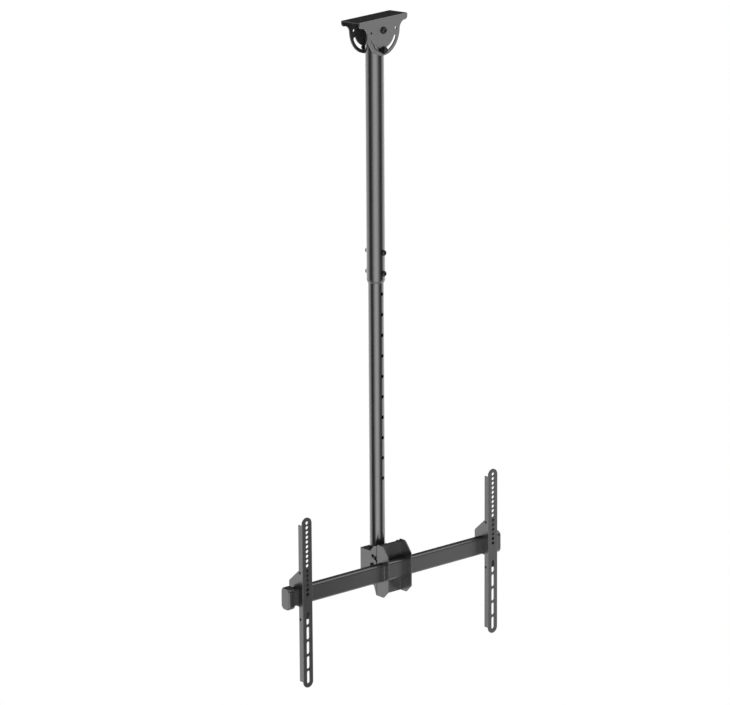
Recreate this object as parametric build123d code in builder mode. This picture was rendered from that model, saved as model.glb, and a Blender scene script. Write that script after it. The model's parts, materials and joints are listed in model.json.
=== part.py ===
"""Ceiling mount for a flat screen: hinged bracket, telescopic pole, tilting head, rail and two arms."""

import os
from math import cos, radians, sin

from build123d import *

os.makedirs("parts", exist_ok=True)

# Rest pose: turn of the bracket and pole about Z against the rail, in degrees
swivel_rest = 9.5

# Gaps between pieces
fit_gap = 0.05
run_gap = 0.1
seat_gap = 0.3
slide_gap = 0.3

# Ceiling bracket, one folded sheet: a plate and two hanging ears
bracket_sheet = 3.0
bracket_bend = 1.0
plate_len = 178.0
plate_depth = 56.0
tab_drop = 15.0
tab_corner = 8.0
tab_reach = 29.0
flare_radius = 20.0
pivot_drop = 30.0
arc_edge = 13.0
arc_half_angle = 64.0
park_edge = 14.5
park_dia = 7.0
lag_pitch = 100.0
lag_dia = 9.0

# Pivot bolt and lock bolt of the ceiling hinge
pivot_dia = 10.0
pivot_head_dia = 17.0
pivot_head_h = 6.0
pivot_nut_af = 16.0
pivot_nut_h = 8.0
spacer_dia = 20.0
lock_dia = 8.0
lock_slot_play = 0.5
lock_head_af = 13.0
lock_head_h = 5.5
lock_washer_dia = 19.0
lock_washer_t = 1.6
lock_nut_h = 6.5
thread_over = 2.0

# Telescopic pole
outer_dia = 45.0
outer_wall = 1.8
outer_over = 12.0
inner_dia = 38.0
inner_wall = 1.8
hole_pitch = 51.0
hole_count = 12
hole_dia = 9.0
outer_drop = 634.0
bolt_edge = 15.0
collar_h = 9.0
collar_lead = 6.0
collar_taper = 2.4
sleeve_over = 9.0
glide_gap = 2.5
glide_skirt = 12.0
glide_cap = 2.5
height_bolt_dia = 8.0
height_head_dia = 14.0
height_head_h = 7.0
height_head_round = 2.0

# Rail
rail_drop = 1350.0
rail_h = 45.0
rail_d = 20.0
rail_wall = 1.8
rail_corner = 6.0
rail_len = 652.0
rail_standoff = 4.0
cap_t = 17.0
cap_over = 5.5
cap_corner = 12.0
cap_round = 3.0
cap_plug = 18.0

# Swivel yoke round the pole foot
yoke_sheet = 3.0
yoke_bend = 1.0
foot_side_gap = 11.8
foot_rear_gap = 2.0
yoke_reach = 14.5
yoke_up = 43.5
yoke_down = 41.5
yoke_knee = 1.0
yoke_corner = 4.0
foot_plug = 40.0
foot_flange_t = 6.0
foot_over = 1.0
disc_t = 2.0
swivel_dia = 10.0
swivel_head_af = 17.0
swivel_head_h = 6.4
swivel_washer_dia = 24.0
swivel_washer_t = 2.0
swivel_reach = 30.0

# Tilt bracket behind the rail bracket, both folded U sheets back to back
head_sheet = 3.0
head_bend = 1.0
head_gap = 0.4
web_gap = 0.5
tilt_gap = 1.0
tilt_up = 11.0
tilt_dia = 6.0
tilt_head_dia = 10.5
tilt_head_h = 3.3
tilt_nut_af = 10.0
tilt_nut_h = 5.0
pin_dia = 8.0
pin_radius = 23.0
pin_angle = 20.0
pin_play = 0.75
slot_from = 6.5
slot_to = 70.0
ear_up = 62.0
ear_crest = 11.0
ear_crest_fall = 1.5
ear_shoulder = 22.0
ear_shoulder_fall = 14.3
ear_rear = 12.0
ear_flat = 22.0
ear_toe_rise = 22.0
head_down = 63.5
plate_up = 66.0
plate_over = 14.5
plate_cut = 22.0
plate_cut_fall = 27.0
plate_round = 12.0
plate_chamfer = 18.0
head_corner = 6.0
web_up = 60.0

# Screen arms hooked over the rail
arm_inset = 26.0
arm_len = 424.0
arm_width = 30.0
arm_sheet = 2.5
arm_bend = 1.0
arm_standoff = 22.0
arm_over = 200.0
flange_d = 14.5
flange_start = 18.0
flange_end = 16.0
arm_hole_dia = 8.5
arm_hole_first = 13.0
arm_hole_pitch = 11.8
arm_hole_count = 16
arm_slot_len = 31.5
arm_slot_pitch = 36.8
arm_slot_count = 5
arm_slot_last = 26.5
hook_rise = 69.0
hook_shoulder = 37.0
hook_back = 8.0
hook_drop = 38.0
hook_toe = 1.5
hook_round = 6.0
lip_gap = 2.5
lip_w = 23.5
lip_up = 70.0
lip_down = 54.0
pad_gap = 0.5
pad_lift = 3.0
tab_w = 16.0
tab_h = 22.0
clamp_dia = 6.0
clamp_head_dia = 16.0
clamp_head_h = 8.0
clamp_over = 4.0

# Derived places
turn = Location((0, 0, 0), (0, 0, swivel_rest))
ear_in = plate_depth / 2 - bracket_sheet
ear_radius = plate_len / 2 - tab_reach
arc_radius = ear_radius - arc_edge
park_radius = ear_radius - park_edge
lock_z = -pivot_drop - arc_radius
lock_slot = lock_dia + 2 * lock_slot_play
outer_in = outer_dia / 2 - outer_wall
inner_in = inner_dia / 2 - inner_wall
sleeve_len = bolt_edge + hole_pitch + sleeve_over
hole_zs = [bolt_edge - outer_drop - (i - 1) * hole_pitch for i in range(hole_count)]
inner_top = sleeve_len - outer_drop + glide_gap + glide_skirt
foot_r = inner_dia / 2 + foot_over
yoke_half = foot_r + foot_side_gap + yoke_sheet
yoke_rear = foot_r + foot_rear_gap + yoke_sheet
tilt_in = inner_dia / 2 + tilt_gap + tilt_dia / 2
yoke_front = tilt_in + yoke_reach
back_plane = yoke_front + web_gap + head_sheet
rail_back = back_plane + head_sheet + rail_standoff
rail_front = rail_back + rail_d
rail_mid = -(rail_front - rail_d / 2)
plate_front = rail_front + plate_over
arm_front = rail_front + arm_standoff
rail_z = -rail_drop
yoke_floor = rail_z - yoke_down
disc_z = yoke_floor + yoke_sheet + seat_gap
flange_z = disc_z + disc_t
inner_end = flange_z + foot_flange_t
head_half = yoke_half + head_gap + head_sheet
head_in = yoke_half + head_gap
tilt_z = rail_z + tilt_up
pin_y = -(tilt_in + pin_radius * sin(radians(pin_angle)))
pin_z = tilt_z + pin_radius * cos(radians(pin_angle))
arm_x = rail_len / 2 - arm_inset
arm_top = rail_z + arm_over
arm_mid = arm_top - arm_len / 2
flange_y = -(arm_front - flange_d)
notch_front = rail_front + slide_gap
notch_back = rail_back - slide_gap
hook_y = -(notch_back - hook_back)
clamp_x = -arm_width / 2 + tab_w - clamp_dia
clamp_z = rail_z + rail_h / 2 - hook_drop + tab_h / 2


def hand_out(shape, node):
    shape.label = node
    export_step(shape, f"parts/{node}.step")


# Ceiling bracket
with BuildPart() as ceiling_bracket:
    with BuildSketch(Plane.XY.offset(-bracket_sheet)):
        Rectangle(plate_len, plate_depth)
        with Locations((-lag_pitch / 2, 0), (lag_pitch / 2, 0)):
            Circle(lag_dia / 2, mode=Mode.SUBTRACT)
    extrude(amount=bracket_sheet)
    with BuildSketch(Plane.XZ.offset(ear_in), Plane.XZ.offset(-plate_depth / 2)):
        with Locations((0, -pivot_drop)):
            Circle(ear_radius)
        with Locations((0, -tab_drop)):
            Rectangle(3 * ear_radius, 2 * ear_radius, align=(Align.CENTER, Align.MIN), mode=Mode.SUBTRACT)
        with Locations((0, -tab_drop)):
            Rectangle(plate_len, tab_drop, align=(Align.CENTER, Align.MIN))
        low = [v for v in vertices() if abs(v.Y + tab_drop) < 1e-3]
        fillet([v for v in low if abs(v.X) < plate_len / 2 - 1e-3], flare_radius)
        tips = [v for v in vertices() if abs(v.Y + tab_drop) < 1e-3 and abs(v.X) > plate_len / 2 - 1e-3]
        fillet(tips, tab_corner)
        with Locations((0, -pivot_drop)):
            Circle(pivot_dia / 2 + fit_gap, mode=Mode.SUBTRACT)
        with Locations((-park_radius, -pivot_drop), (park_radius, -pivot_drop)):
            Circle(park_dia / 2, mode=Mode.SUBTRACT)
        arc_path = Edge.make_circle(
            arc_radius, Plane((0, -pivot_drop, 0)), -90 - arc_half_angle, -90 + arc_half_angle
        )
        SlotArc(arc_path, lock_slot, mode=Mode.SUBTRACT)
    extrude(amount=bracket_sheet)
    along = ceiling_bracket.edges().filter_by(Axis.X)
    folds = [e for e in along if e.center().Z > -1e-3 and abs(e.center().Y) > ear_in]
    fillet(folds, bracket_bend + bracket_sheet / 2)
    hand_out(ceiling_bracket.part.moved(turn), "ceiling_bracket")

# Pivot bolt with a domed head, and its nut
with BuildPart() as pivot_bolt:
    with BuildSketch(Plane.XZ.offset(plate_depth / 2)):
        with Locations((0, -pivot_drop)):
            Circle(pivot_head_dia / 2)
    extrude(amount=pivot_head_h)
    fillet(pivot_bolt.faces().sort_by(Axis.Y)[0].edges(), pivot_head_h * 0.6)
    with BuildSketch(Plane.XZ.offset(plate_depth / 2)):
        with Locations((0, -pivot_drop)):
            Circle(pivot_dia / 2)
    extrude(amount=-(plate_depth + pivot_nut_h + thread_over))
    hand_out(pivot_bolt.part.moved(turn), "pivot_bolt")

with BuildPart() as pivot_nut:
    with BuildSketch(Plane.XZ.offset(-plate_depth / 2)):
        with Locations((0, -pivot_drop)):
            RegularPolygon(pivot_nut_af / 2, 6, major_radius=False)
            Circle(pivot_dia / 2 + fit_gap, mode=Mode.SUBTRACT)
    extrude(amount=-pivot_nut_h)
    hand_out(pivot_nut.part.moved(turn), "pivot_nut")

# Outer pole, bored for the pivot, the lock bolt and the height bolts
with BuildPart() as outer_pole:
    with BuildSketch(Plane.XY.offset(-outer_drop)):
        Circle(outer_dia / 2)
        Circle(outer_in, mode=Mode.SUBTRACT)
    extrude(amount=outer_drop - pivot_drop + outer_over)
    with BuildSketch(Plane.XZ):
        with Locations((0, -pivot_drop)):
            Circle(pivot_dia / 2 + run_gap)
        with Locations((0, lock_z)):
            Circle(lock_dia / 2 + fit_gap)
        with Locations((0, hole_zs[0]), (0, hole_zs[1])):
            Circle(height_bolt_dia / 2 + fit_gap)
    extrude(amount=outer_dia, both=True, mode=Mode.SUBTRACT)
    hand_out(outer_pole.part.moved(turn), "outer_pole")

# Saddle spacers between the pole and the ears
with BuildPart() as pivot_spacers:
    with BuildSketch(Plane.XZ.offset(ear_in - seat_gap)):
        with Locations((0, -pivot_drop)):
            Circle(spacer_dia / 2)
            Circle(pivot_dia / 2 + run_gap, mode=Mode.SUBTRACT)
    extrude(amount=-2 * (ear_in - seat_gap))
    with Locations((0, 0, -pivot_drop)):
        Cylinder(outer_dia / 2, 2 * spacer_dia, mode=Mode.SUBTRACT)
    hand_out(pivot_spacers.part.moved(turn), "pivot_spacers")

# Lock bolt through the arc slots, with washers and nut
lock_face = plate_depth / 2 + seat_gap
with BuildPart() as lock_washers:
    with BuildSketch(Plane.XZ.offset(lock_face), Plane.XZ.offset(-lock_face - lock_washer_t)):
        with Locations((0, lock_z)):
            Circle(lock_washer_dia / 2)
            Circle(lock_dia / 2 + fit_gap, mode=Mode.SUBTRACT)
    extrude(amount=lock_washer_t)
    hand_out(lock_washers.part.moved(turn), "lock_washers")

with BuildPart() as lock_bolt:
    with BuildSketch(Plane.XZ.offset(lock_face + lock_washer_t)):
        with Locations((0, lock_z)):
            RegularPolygon(lock_head_af / 2, 6, major_radius=False)
    extrude(amount=lock_head_h)
    with BuildSketch(Plane.XZ.offset(lock_face + lock_washer_t)):
        with Locations((0, lock_z)):
            Circle(lock_dia / 2)
    extrude(amount=-(2 * (lock_face + lock_washer_t) + lock_nut_h + thread_over))
    hand_out(lock_bolt.part.moved(turn), "lock_bolt")

with BuildPart() as lock_nut:
    with BuildSketch(Plane.XZ.offset(-lock_face - lock_washer_t)):
        with Locations((0, lock_z)):
            RegularPolygon(lock_head_af / 2, 6, major_radius=False)
            Circle(lock_dia / 2 + fit_gap, mode=Mode.SUBTRACT)
    extrude(amount=-lock_nut_h)
    hand_out(lock_nut.part.moved(turn), "lock_nut")

# Plastic guide sleeve in the lower end of the outer pole, with a tapered collar under it
with BuildPart() as guide_sleeve:
    with BuildSketch(Plane.XY.offset(-outer_drop)):
        Circle(outer_dia / 2)
    extrude(amount=collar_lead - collar_h)
    with Locations((0, 0, -outer_drop - collar_h)):
        Cone(outer_dia / 2 - collar_taper, outer_dia / 2, collar_lead, align=(Align.CENTER, Align.CENTER, Align.MIN))
    with BuildSketch(Plane.XY.offset(-outer_drop)):
        Circle(outer_in - fit_gap)
    extrude(amount=sleeve_len)
    with BuildSketch(Plane.XY.offset(-outer_drop - collar_h)):
        Circle(inner_dia / 2 + slide_gap)
    extrude(amount=collar_h + sleeve_len, mode=Mode.SUBTRACT)
    with BuildSketch(Plane.XZ):
        with Locations((0, hole_zs[0]), (0, hole_zs[1])):
            Circle(height_bolt_dia / 2 + fit_gap)
    extrude(amount=outer_dia, both=True, mode=Mode.SUBTRACT)
    hand_out(guide_sleeve.part.moved(turn), "guide_sleeve")

# Height bolts, front and back, whose tips stop flush with the bore of the sleeve
with BuildPart() as height_bolts:
    with BuildSketch(Plane.XZ.offset(outer_dia / 2)):
        with Locations((0, hole_zs[0]), (0, hole_zs[1])):
            Circle(height_head_dia / 2)
    extrude(amount=height_head_h)
    fillet(height_bolts.faces().group_by(Axis.Y)[0].edges(), height_head_round)
    with BuildSketch(Plane.XZ.offset(outer_dia / 2)):
        with Locations((0, hole_zs[0]), (0, hole_zs[1])):
            Circle(height_bolt_dia / 2)
    extrude(amount=-(outer_dia - inner_dia) / 2 + slide_gap)
    mirror(about=Plane.XZ)
    hand_out(height_bolts.part.moved(turn), "height_bolts")

# Inner pole with its row of cross holes
with BuildPart() as inner_pole:
    with BuildSketch(Plane.XY.offset(inner_end)):
        Circle(inner_dia / 2)
        Circle(inner_in, mode=Mode.SUBTRACT)
    extrude(amount=inner_top - inner_end)
    with BuildSketch(Plane.XZ):
        with Locations(*[(0, z) for z in hole_zs]):
            Circle(hole_dia / 2)
    extrude(amount=inner_dia, both=True, mode=Mode.SUBTRACT)
    hand_out(inner_pole.part.moved(turn), "inner_pole")

# Plastic glide capped over the top of the inner pole
with BuildPart() as pole_glide:
    with BuildSketch(Plane.XY.offset(inner_top - glide_skirt)):
        Circle(outer_in - slide_gap)
    extrude(amount=glide_skirt + glide_cap)
    with BuildSketch(Plane.XY.offset(inner_top - glide_skirt)):
        Circle(inner_dia / 2 + fit_gap)
    extrude(amount=glide_skirt, mode=Mode.SUBTRACT)
    hand_out(pole_glide.part.moved(turn), "pole_glide")

# Foot plugged into the lower end of the inner pole, drilled for the swivel bolt
with BuildPart() as pole_foot:
    with BuildSketch(Plane.XY.offset(flange_z)):
        Circle(foot_r)
    extrude(amount=foot_flange_t)
    with BuildSketch(Plane.XY.offset(inner_end)):
        Circle(inner_in - fit_gap)
    extrude(amount=foot_plug)
    with BuildSketch(Plane.XY.offset(flange_z)):
        Circle(swivel_dia / 2 + fit_gap)
    extrude(amount=swivel_reach, mode=Mode.SUBTRACT)
    hand_out(pole_foot.part.moved(turn), "pole_foot")

# Bearing disc above the yoke floor, washer and bolt below it
with BuildPart() as swivel_disc:
    with BuildSketch(Plane.XY.offset(disc_z)):
        Circle(foot_r)
        Circle(swivel_dia / 2 + fit_gap, mode=Mode.SUBTRACT)
    extrude(amount=disc_t)
    hand_out(swivel_disc.part.moved(turn), "swivel_disc")

swivel_face = yoke_floor - seat_gap
with BuildPart() as swivel_washer:
    with BuildSketch(Plane.XY.offset(swivel_face - swivel_washer_t)):
        Circle(swivel_washer_dia / 2)
        Circle(swivel_dia / 2 + fit_gap, mode=Mode.SUBTRACT)
    extrude(amount=swivel_washer_t)
    hand_out(swivel_washer.part.moved(turn), "swivel_washer")

with BuildPart() as swivel_bolt:
    with BuildSketch(Plane.XY.offset(swivel_face - swivel_washer_t - swivel_head_h)):
        RegularPolygon(swivel_head_af / 2, 6, major_radius=False)
    extrude(amount=swivel_head_h)
    with BuildSketch(Plane.XY.offset(swivel_face - swivel_washer_t)):
        Circle(swivel_dia / 2)
    extrude(amount=flange_z + swivel_reach - thread_over - (swivel_face - swivel_washer_t))
    hand_out(swivel_bolt.part.moved(turn), "swivel_bolt")

# Swivel yoke: rear wall, floor, two cheeks and a top wall bored for the pole
with BuildPart() as swivel_yoke:
    with BuildSketch(Plane.YZ.offset(-yoke_half)):
        with BuildLine():
            Polyline(
                (yoke_rear, yoke_floor),
                (yoke_rear, rail_z + yoke_up),
                (-yoke_front, rail_z + yoke_up),
                (-yoke_front, tilt_z + yoke_knee),
                (-tilt_in, yoke_floor),
                close=True,
            )
        make_face()
        fillet([v for v in vertices() if v.X < 0 and v.Y > yoke_floor + 1e-3], yoke_corner)
    extrude(amount=2 * yoke_half)
    with Locations((0, yoke_rear - yoke_sheet, yoke_floor + yoke_sheet)):
        Box(
            2 * (yoke_half - yoke_sheet),
            2 * (yoke_rear + yoke_front),
            2 * (yoke_up + yoke_down),
            align=(Align.CENTER, Align.MAX, Align.MIN),
            mode=Mode.SUBTRACT,
        )
    with BuildSketch(Plane.XY.offset(rail_z + yoke_up - yoke_sheet)):
        with Locations((0, yoke_rear)):
            Rectangle(2 * yoke_half, yoke_rear + tilt_in, align=(Align.CENTER, Align.MAX))
        Circle(foot_r + slide_gap, mode=Mode.SUBTRACT)
    extrude(amount=yoke_sheet)
    upright = swivel_yoke.edges().filter_by(Axis.Z)
    fillet([e for e in upright if e.center().Y > yoke_rear - 1e-3], yoke_bend + yoke_sheet / 2)
    with BuildSketch(Plane.XY.offset(yoke_floor)):
        Circle(swivel_dia / 2 + run_gap)
    extrude(amount=yoke_sheet, mode=Mode.SUBTRACT)
    with BuildSketch(Plane.YZ.offset(-yoke_half)):
        with Locations((-tilt_in, tilt_z)):
            Circle(tilt_dia / 2 + fit_gap)
        with Locations((pin_y, pin_z)):
            Circle(pin_dia / 2 + fit_gap)
    extrude(amount=2 * yoke_half, mode=Mode.SUBTRACT)
    hand_out(swivel_yoke.part, "swivel_yoke")

# Tilt bolt, its nut and the guide pin
tilt_face = head_half + seat_gap
with BuildPart() as tilt_bolt:
    with BuildSketch(Plane.YZ.offset(-tilt_face)):
        with Locations((-tilt_in, tilt_z)):
            Circle(tilt_head_dia / 2)
    extrude(amount=-tilt_head_h)
    fillet(tilt_bolt.faces().sort_by(Axis.X)[0].edges(), tilt_head_h / 2)
    with BuildSketch(Plane.YZ.offset(-tilt_face)):
        with Locations((-tilt_in, tilt_z)):
            Circle(tilt_dia / 2)
    extrude(amount=2 * tilt_face + tilt_nut_h + thread_over)
    hand_out(tilt_bolt.part, "tilt_bolt")

with BuildPart() as tilt_nut:
    with BuildSketch(Plane.YZ.offset(tilt_face)):
        with Locations((-tilt_in, tilt_z)):
            RegularPolygon(tilt_nut_af / 2, 6, major_radius=False)
            Circle(tilt_dia / 2 + fit_gap, mode=Mode.SUBTRACT)
    extrude(amount=tilt_nut_h)
    hand_out(tilt_nut.part, "tilt_nut")

with BuildPart() as guide_pin:
    with BuildSketch(Plane.YZ.offset(-head_half)):
        with Locations((pin_y, pin_z)):
            Circle(pin_dia / 2)
    extrude(amount=2 * head_half)
    hand_out(guide_pin.part, "guide_pin")

# Tilt bracket: ears that face back, bored for the tilt bolt and slotted for the pin
with BuildPart() as tilt_bracket:
    with BuildSketch(Plane.YZ.offset(-head_half)):
        with BuildLine():
            Polyline(
                (-back_plane, rail_z + ear_up),
                (-back_plane + ear_crest, rail_z + ear_up - ear_crest_fall),
                (-back_plane + ear_shoulder, rail_z + ear_up - ear_shoulder_fall),
                (-tilt_in + ear_rear, tilt_z + ear_flat),
                (-tilt_in + ear_rear, tilt_z - ear_flat),
                (-back_plane + ear_crest, rail_z - head_down + ear_toe_rise),
                (-back_plane + head_sheet, rail_z - head_down),
                (-back_plane, rail_z - head_down),
                close=True,
            )
        make_face()
        fillet([v for v in vertices() if v.X > -back_plane + 2 * head_sheet], head_corner)
    extrude(amount=2 * head_half)
    with Locations((0, -back_plane + head_sheet, rail_z)):
        Box(
            2 * head_in,
            2 * back_plane,
            2 * (ear_up + head_down),
            align=(Align.CENTER, Align.MIN, Align.CENTER),
            mode=Mode.SUBTRACT,
        )
    with BuildSketch(Plane.YZ.offset(-head_half), Plane.YZ.offset(head_in)):
        with Locations((-tilt_in, tilt_z)):
            Circle(tilt_dia / 2 + run_gap)
        slot_path = Edge.make_circle(pin_radius, Plane((-tilt_in, tilt_z, 0)), 90 + slot_from, 90 + slot_to)
        SlotArc(slot_path, pin_dia + 2 * pin_play)
    extrude(amount=head_sheet, mode=Mode.SUBTRACT)
    upright = tilt_bracket.edges().filter_by(Axis.Z)
    folds = [e for e in upright if e.center().Y < -back_plane + 1e-3 and abs(e.center().X) > head_in]
    fillet(folds, head_bend + head_sheet / 2)
    hand_out(tilt_bracket.part, "tilt_bracket")

# Rail bracket: side plates that face forward, with windows for the rail
with BuildPart() as rail_bracket:
    with BuildSketch(Plane.YZ.offset(-head_half)):
        with BuildLine():
            Polyline(
                (-back_plane, rail_z + plate_up),
                (plate_cut - plate_front, rail_z + plate_up),
                (-plate_front, rail_z + plate_up - plate_cut_fall),
                (-plate_front, rail_z - head_down),
                (-back_plane, rail_z - head_down),
                close=True,
            )
        make_face()
        fillet([v for v in vertices() if v.X < -back_plane - 1e-3 and v.Y > rail_z], plate_round)
        chamfer([v for v in vertices() if v.X < -plate_front + 1e-3 and v.Y < rail_z - rail_h], plate_chamfer)
    extrude(amount=2 * head_half)
    with Locations((0, -back_plane - head_sheet, rail_z)):
        Box(
            2 * head_in,
            2 * plate_front,
            2 * (plate_up + head_down),
            align=(Align.CENTER, Align.MAX, Align.CENTER),
            mode=Mode.SUBTRACT,
        )
    with Locations((0, -back_plane, rail_z + web_up)):
        Box(
            2 * head_in,
            2 * head_sheet,
            2 * plate_up,
            align=(Align.CENTER, Align.CENTER, Align.MIN),
            mode=Mode.SUBTRACT,
        )
    upright = rail_bracket.edges().filter_by(Axis.Z)
    folds = [e for e in upright if e.center().Y > -back_plane - 1e-3 and abs(e.center().X) > head_in]
    fillet(folds, head_bend + head_sheet / 2)
    with BuildSketch(Plane.YZ.offset(-head_half)):
        with Locations((rail_mid, rail_z)):
            RectangleRounded(rail_d + 2 * fit_gap, rail_h + 2 * fit_gap, rail_corner + fit_gap)
    extrude(amount=2 * head_half, mode=Mode.SUBTRACT)
    hand_out(rail_bracket.part, "rail_bracket")

# Rail tube and its end caps
with BuildPart() as rail:
    with BuildSketch(Plane.YZ.offset(-rail_len / 2)):
        with Locations((rail_mid, rail_z)):
            RectangleRounded(rail_d, rail_h, rail_corner)
            RectangleRounded(
                rail_d - 2 * rail_wall, rail_h - 2 * rail_wall, rail_corner - rail_wall, mode=Mode.SUBTRACT
            )
    extrude(amount=rail_len)
    hand_out(rail.part, "rail")

with BuildPart() as end_cap:
    with BuildSketch(Plane.YZ.offset(rail_len / 2)):
        with Locations((rail_mid, rail_z)):
            RectangleRounded(rail_d + 2 * cap_over, rail_h + 2 * cap_over, cap_corner)
    extrude(amount=cap_t)
    fillet(end_cap.faces().sort_by(Axis.X)[-1].edges(), cap_round)
    with BuildSketch(Plane.YZ.offset(rail_len / 2)):
        with Locations((rail_mid, rail_z)):
            RectangleRounded(
                rail_d - 2 * (rail_wall + fit_gap),
                rail_h - 2 * (rail_wall + fit_gap),
                rail_corner - rail_wall - fit_gap,
            )
    extrude(amount=-cap_plug)
    hand_out(end_cap.part.mirror(Plane.YZ), "left_end_cap")
    hand_out(end_cap.part.moved(Location((0, 0, 0))), "right_end_cap")

# Screen arm: front strip with holes and slots, side flange with the rail hook, a lip that stiffens
# the hook behind the strip, a pad above the rail that the strip rests on, and a lug for the clamp screw
with BuildPart() as arm:
    with BuildSketch(Plane.XZ.offset(arm_front - arm_sheet)):
        with Locations((0, arm_mid)):
            SlotOverall(arm_len, arm_width, rotation=90)
        with Locations(*[(0, arm_top - arm_hole_first - i * arm_hole_pitch) for i in range(arm_hole_count)]):
            Circle(arm_hole_dia / 2, mode=Mode.SUBTRACT)
        slot_low = arm_top - arm_len + arm_slot_last
        with Locations(*[(0, slot_low + i * arm_slot_pitch) for i in range(arm_slot_count)]):
            SlotOverall(arm_slot_len, arm_hole_dia, rotation=90, mode=Mode.SUBTRACT)
    extrude(amount=arm_sheet)
    with BuildSketch(Plane.YZ.offset(-arm_width / 2)):
        with BuildLine():
            Polyline(
                (-arm_front, arm_top - flange_start),
                (flange_y, arm_top - flange_start),
                (flange_y, rail_z + hook_rise),
                (hook_y, rail_z + hook_shoulder),
                (hook_y, rail_z + rail_h / 2 - hook_drop),
                (-notch_back, rail_z + rail_h / 2 - hook_drop),
                (-notch_back, rail_z + rail_h / 2 + slide_gap),
                (-notch_front, rail_z + rail_h / 2 + slide_gap),
                (-notch_front, rail_z - rail_h / 2 + hook_toe),
                (flange_y, rail_z - rail_h / 2 + hook_toe),
                (flange_y, arm_top - arm_len + flange_end),
                (-arm_front, arm_top - arm_len + flange_end),
                close=True,
            )
        make_face()
        fillet([v for v in vertices() if abs(v.Y - rail_z - hook_shoulder) < 1e-3], hook_round)
        notch = [v for v in vertices() if abs(v.Y - rail_z - rail_h / 2 - slide_gap) < 1e-3]
        fillet(notch, rail_corner + slide_gap)
    extrude(amount=arm_sheet)
    bend = [e for e in arm.edges().filter_by(Axis.Z) if e.center().Y < -arm_front + 1e-3]
    fillet([e for e in bend if e.center().X < -arm_width / 2 + 1e-3 and e.length > arm_len / 2], arm_bend)
    with Locations((-arm_width / 2, -(arm_front - arm_sheet - lip_gap), rail_z - lip_down)):
        Box(lip_w, arm_sheet, lip_up + lip_down, align=(Align.MIN, Align.MIN, Align.MIN))
    pad_z = rail_z + rail_h / 2 + pad_lift
    with Locations((-arm_width / 2, -(arm_front - arm_sheet - pad_gap), pad_z)):
        Box(lip_w, lip_gap, rail_z + lip_up - pad_z, align=(Align.MIN, Align.MIN, Align.MIN))
    with BuildSketch(Plane.XZ.offset(-hook_y)):
        with Locations((-arm_width / 2, rail_z + rail_h / 2 - hook_drop)):
            Rectangle(tab_w, tab_h, align=(Align.MIN, Align.MIN))
        with Locations((clamp_x, clamp_z)):
            Circle(clamp_dia / 2 + fit_gap, mode=Mode.SUBTRACT)
    extrude(amount=-arm_sheet)
    hand_out(arm.part.moved(Location((-arm_x, 0, 0))), "left_arm")
    hand_out(arm.part.moved(Location((arm_x, 0, 0))), "right_arm")

# Clamp screw in the lug behind the rail
with BuildPart() as clamp_screw:
    with BuildSketch(Plane.XZ.offset(-hook_y - arm_sheet - clamp_over)):
        with Locations((clamp_x, clamp_z)):
            Circle(clamp_head_dia / 2)
    extrude(amount=-clamp_head_h)
    fillet(clamp_screw.faces().sort_by(Axis.Y)[-1].edges(), clamp_head_h / 5)
    with BuildSketch(Plane.XZ.offset(notch_back)):
        with Locations((clamp_x, clamp_z)):
            Circle(clamp_dia / 2)
    extrude(amount=-(notch_back + hook_y + arm_sheet + clamp_over))
    hand_out(clamp_screw.part.moved(Location((-arm_x, 0, 0))), "left_clamp_screw")
    hand_out(clamp_screw.part.moved(Location((arm_x, 0, 0))), "right_clamp_screw")
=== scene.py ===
# %% [markdown]
# # A ceiling mount for a flat screen
# The object is a black steel mount: a folded bracket on the ceiling, a telescopic pole, a head that
# swivels and tilts, and a rail with two slotted arms. Its solids come packed as a fixed frame, in metres,
# with the origin in the middle of the ceiling plate. This lesson gives that frame the finish of the real
# thing.

# %% Load the frame
import json
from math import cos, pi, radians, sin

import bmesh
import bpy
from mathutils import Matrix, Vector

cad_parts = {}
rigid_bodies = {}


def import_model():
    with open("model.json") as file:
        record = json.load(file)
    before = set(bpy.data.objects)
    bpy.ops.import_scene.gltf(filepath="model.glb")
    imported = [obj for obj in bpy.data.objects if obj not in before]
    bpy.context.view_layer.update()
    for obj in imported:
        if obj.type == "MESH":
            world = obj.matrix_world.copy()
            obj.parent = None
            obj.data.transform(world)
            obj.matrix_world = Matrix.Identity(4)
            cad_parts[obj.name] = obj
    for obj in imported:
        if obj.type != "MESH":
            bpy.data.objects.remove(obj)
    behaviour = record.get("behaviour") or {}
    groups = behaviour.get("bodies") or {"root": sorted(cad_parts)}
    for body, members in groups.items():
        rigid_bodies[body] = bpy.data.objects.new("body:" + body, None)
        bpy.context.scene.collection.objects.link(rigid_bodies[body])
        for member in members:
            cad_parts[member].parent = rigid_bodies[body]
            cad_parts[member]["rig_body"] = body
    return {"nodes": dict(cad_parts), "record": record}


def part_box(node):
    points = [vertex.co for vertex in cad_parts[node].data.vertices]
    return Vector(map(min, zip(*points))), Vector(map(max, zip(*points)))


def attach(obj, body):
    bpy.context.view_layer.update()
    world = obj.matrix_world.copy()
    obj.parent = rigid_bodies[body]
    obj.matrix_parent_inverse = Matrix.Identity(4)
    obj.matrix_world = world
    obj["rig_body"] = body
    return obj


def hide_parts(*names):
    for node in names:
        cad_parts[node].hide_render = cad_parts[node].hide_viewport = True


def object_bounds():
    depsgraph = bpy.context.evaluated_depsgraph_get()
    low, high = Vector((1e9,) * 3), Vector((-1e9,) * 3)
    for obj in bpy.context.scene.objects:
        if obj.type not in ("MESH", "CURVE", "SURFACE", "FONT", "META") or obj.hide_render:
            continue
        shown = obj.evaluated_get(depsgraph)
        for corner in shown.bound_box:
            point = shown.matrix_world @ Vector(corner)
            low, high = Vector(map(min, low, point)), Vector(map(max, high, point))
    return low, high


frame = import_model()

nodes = frame["nodes"]
cad_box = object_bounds()
MM = 0.001
print("frame:", len(nodes), "nodes, from", cad_box[0], "to", cad_box[1])

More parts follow.
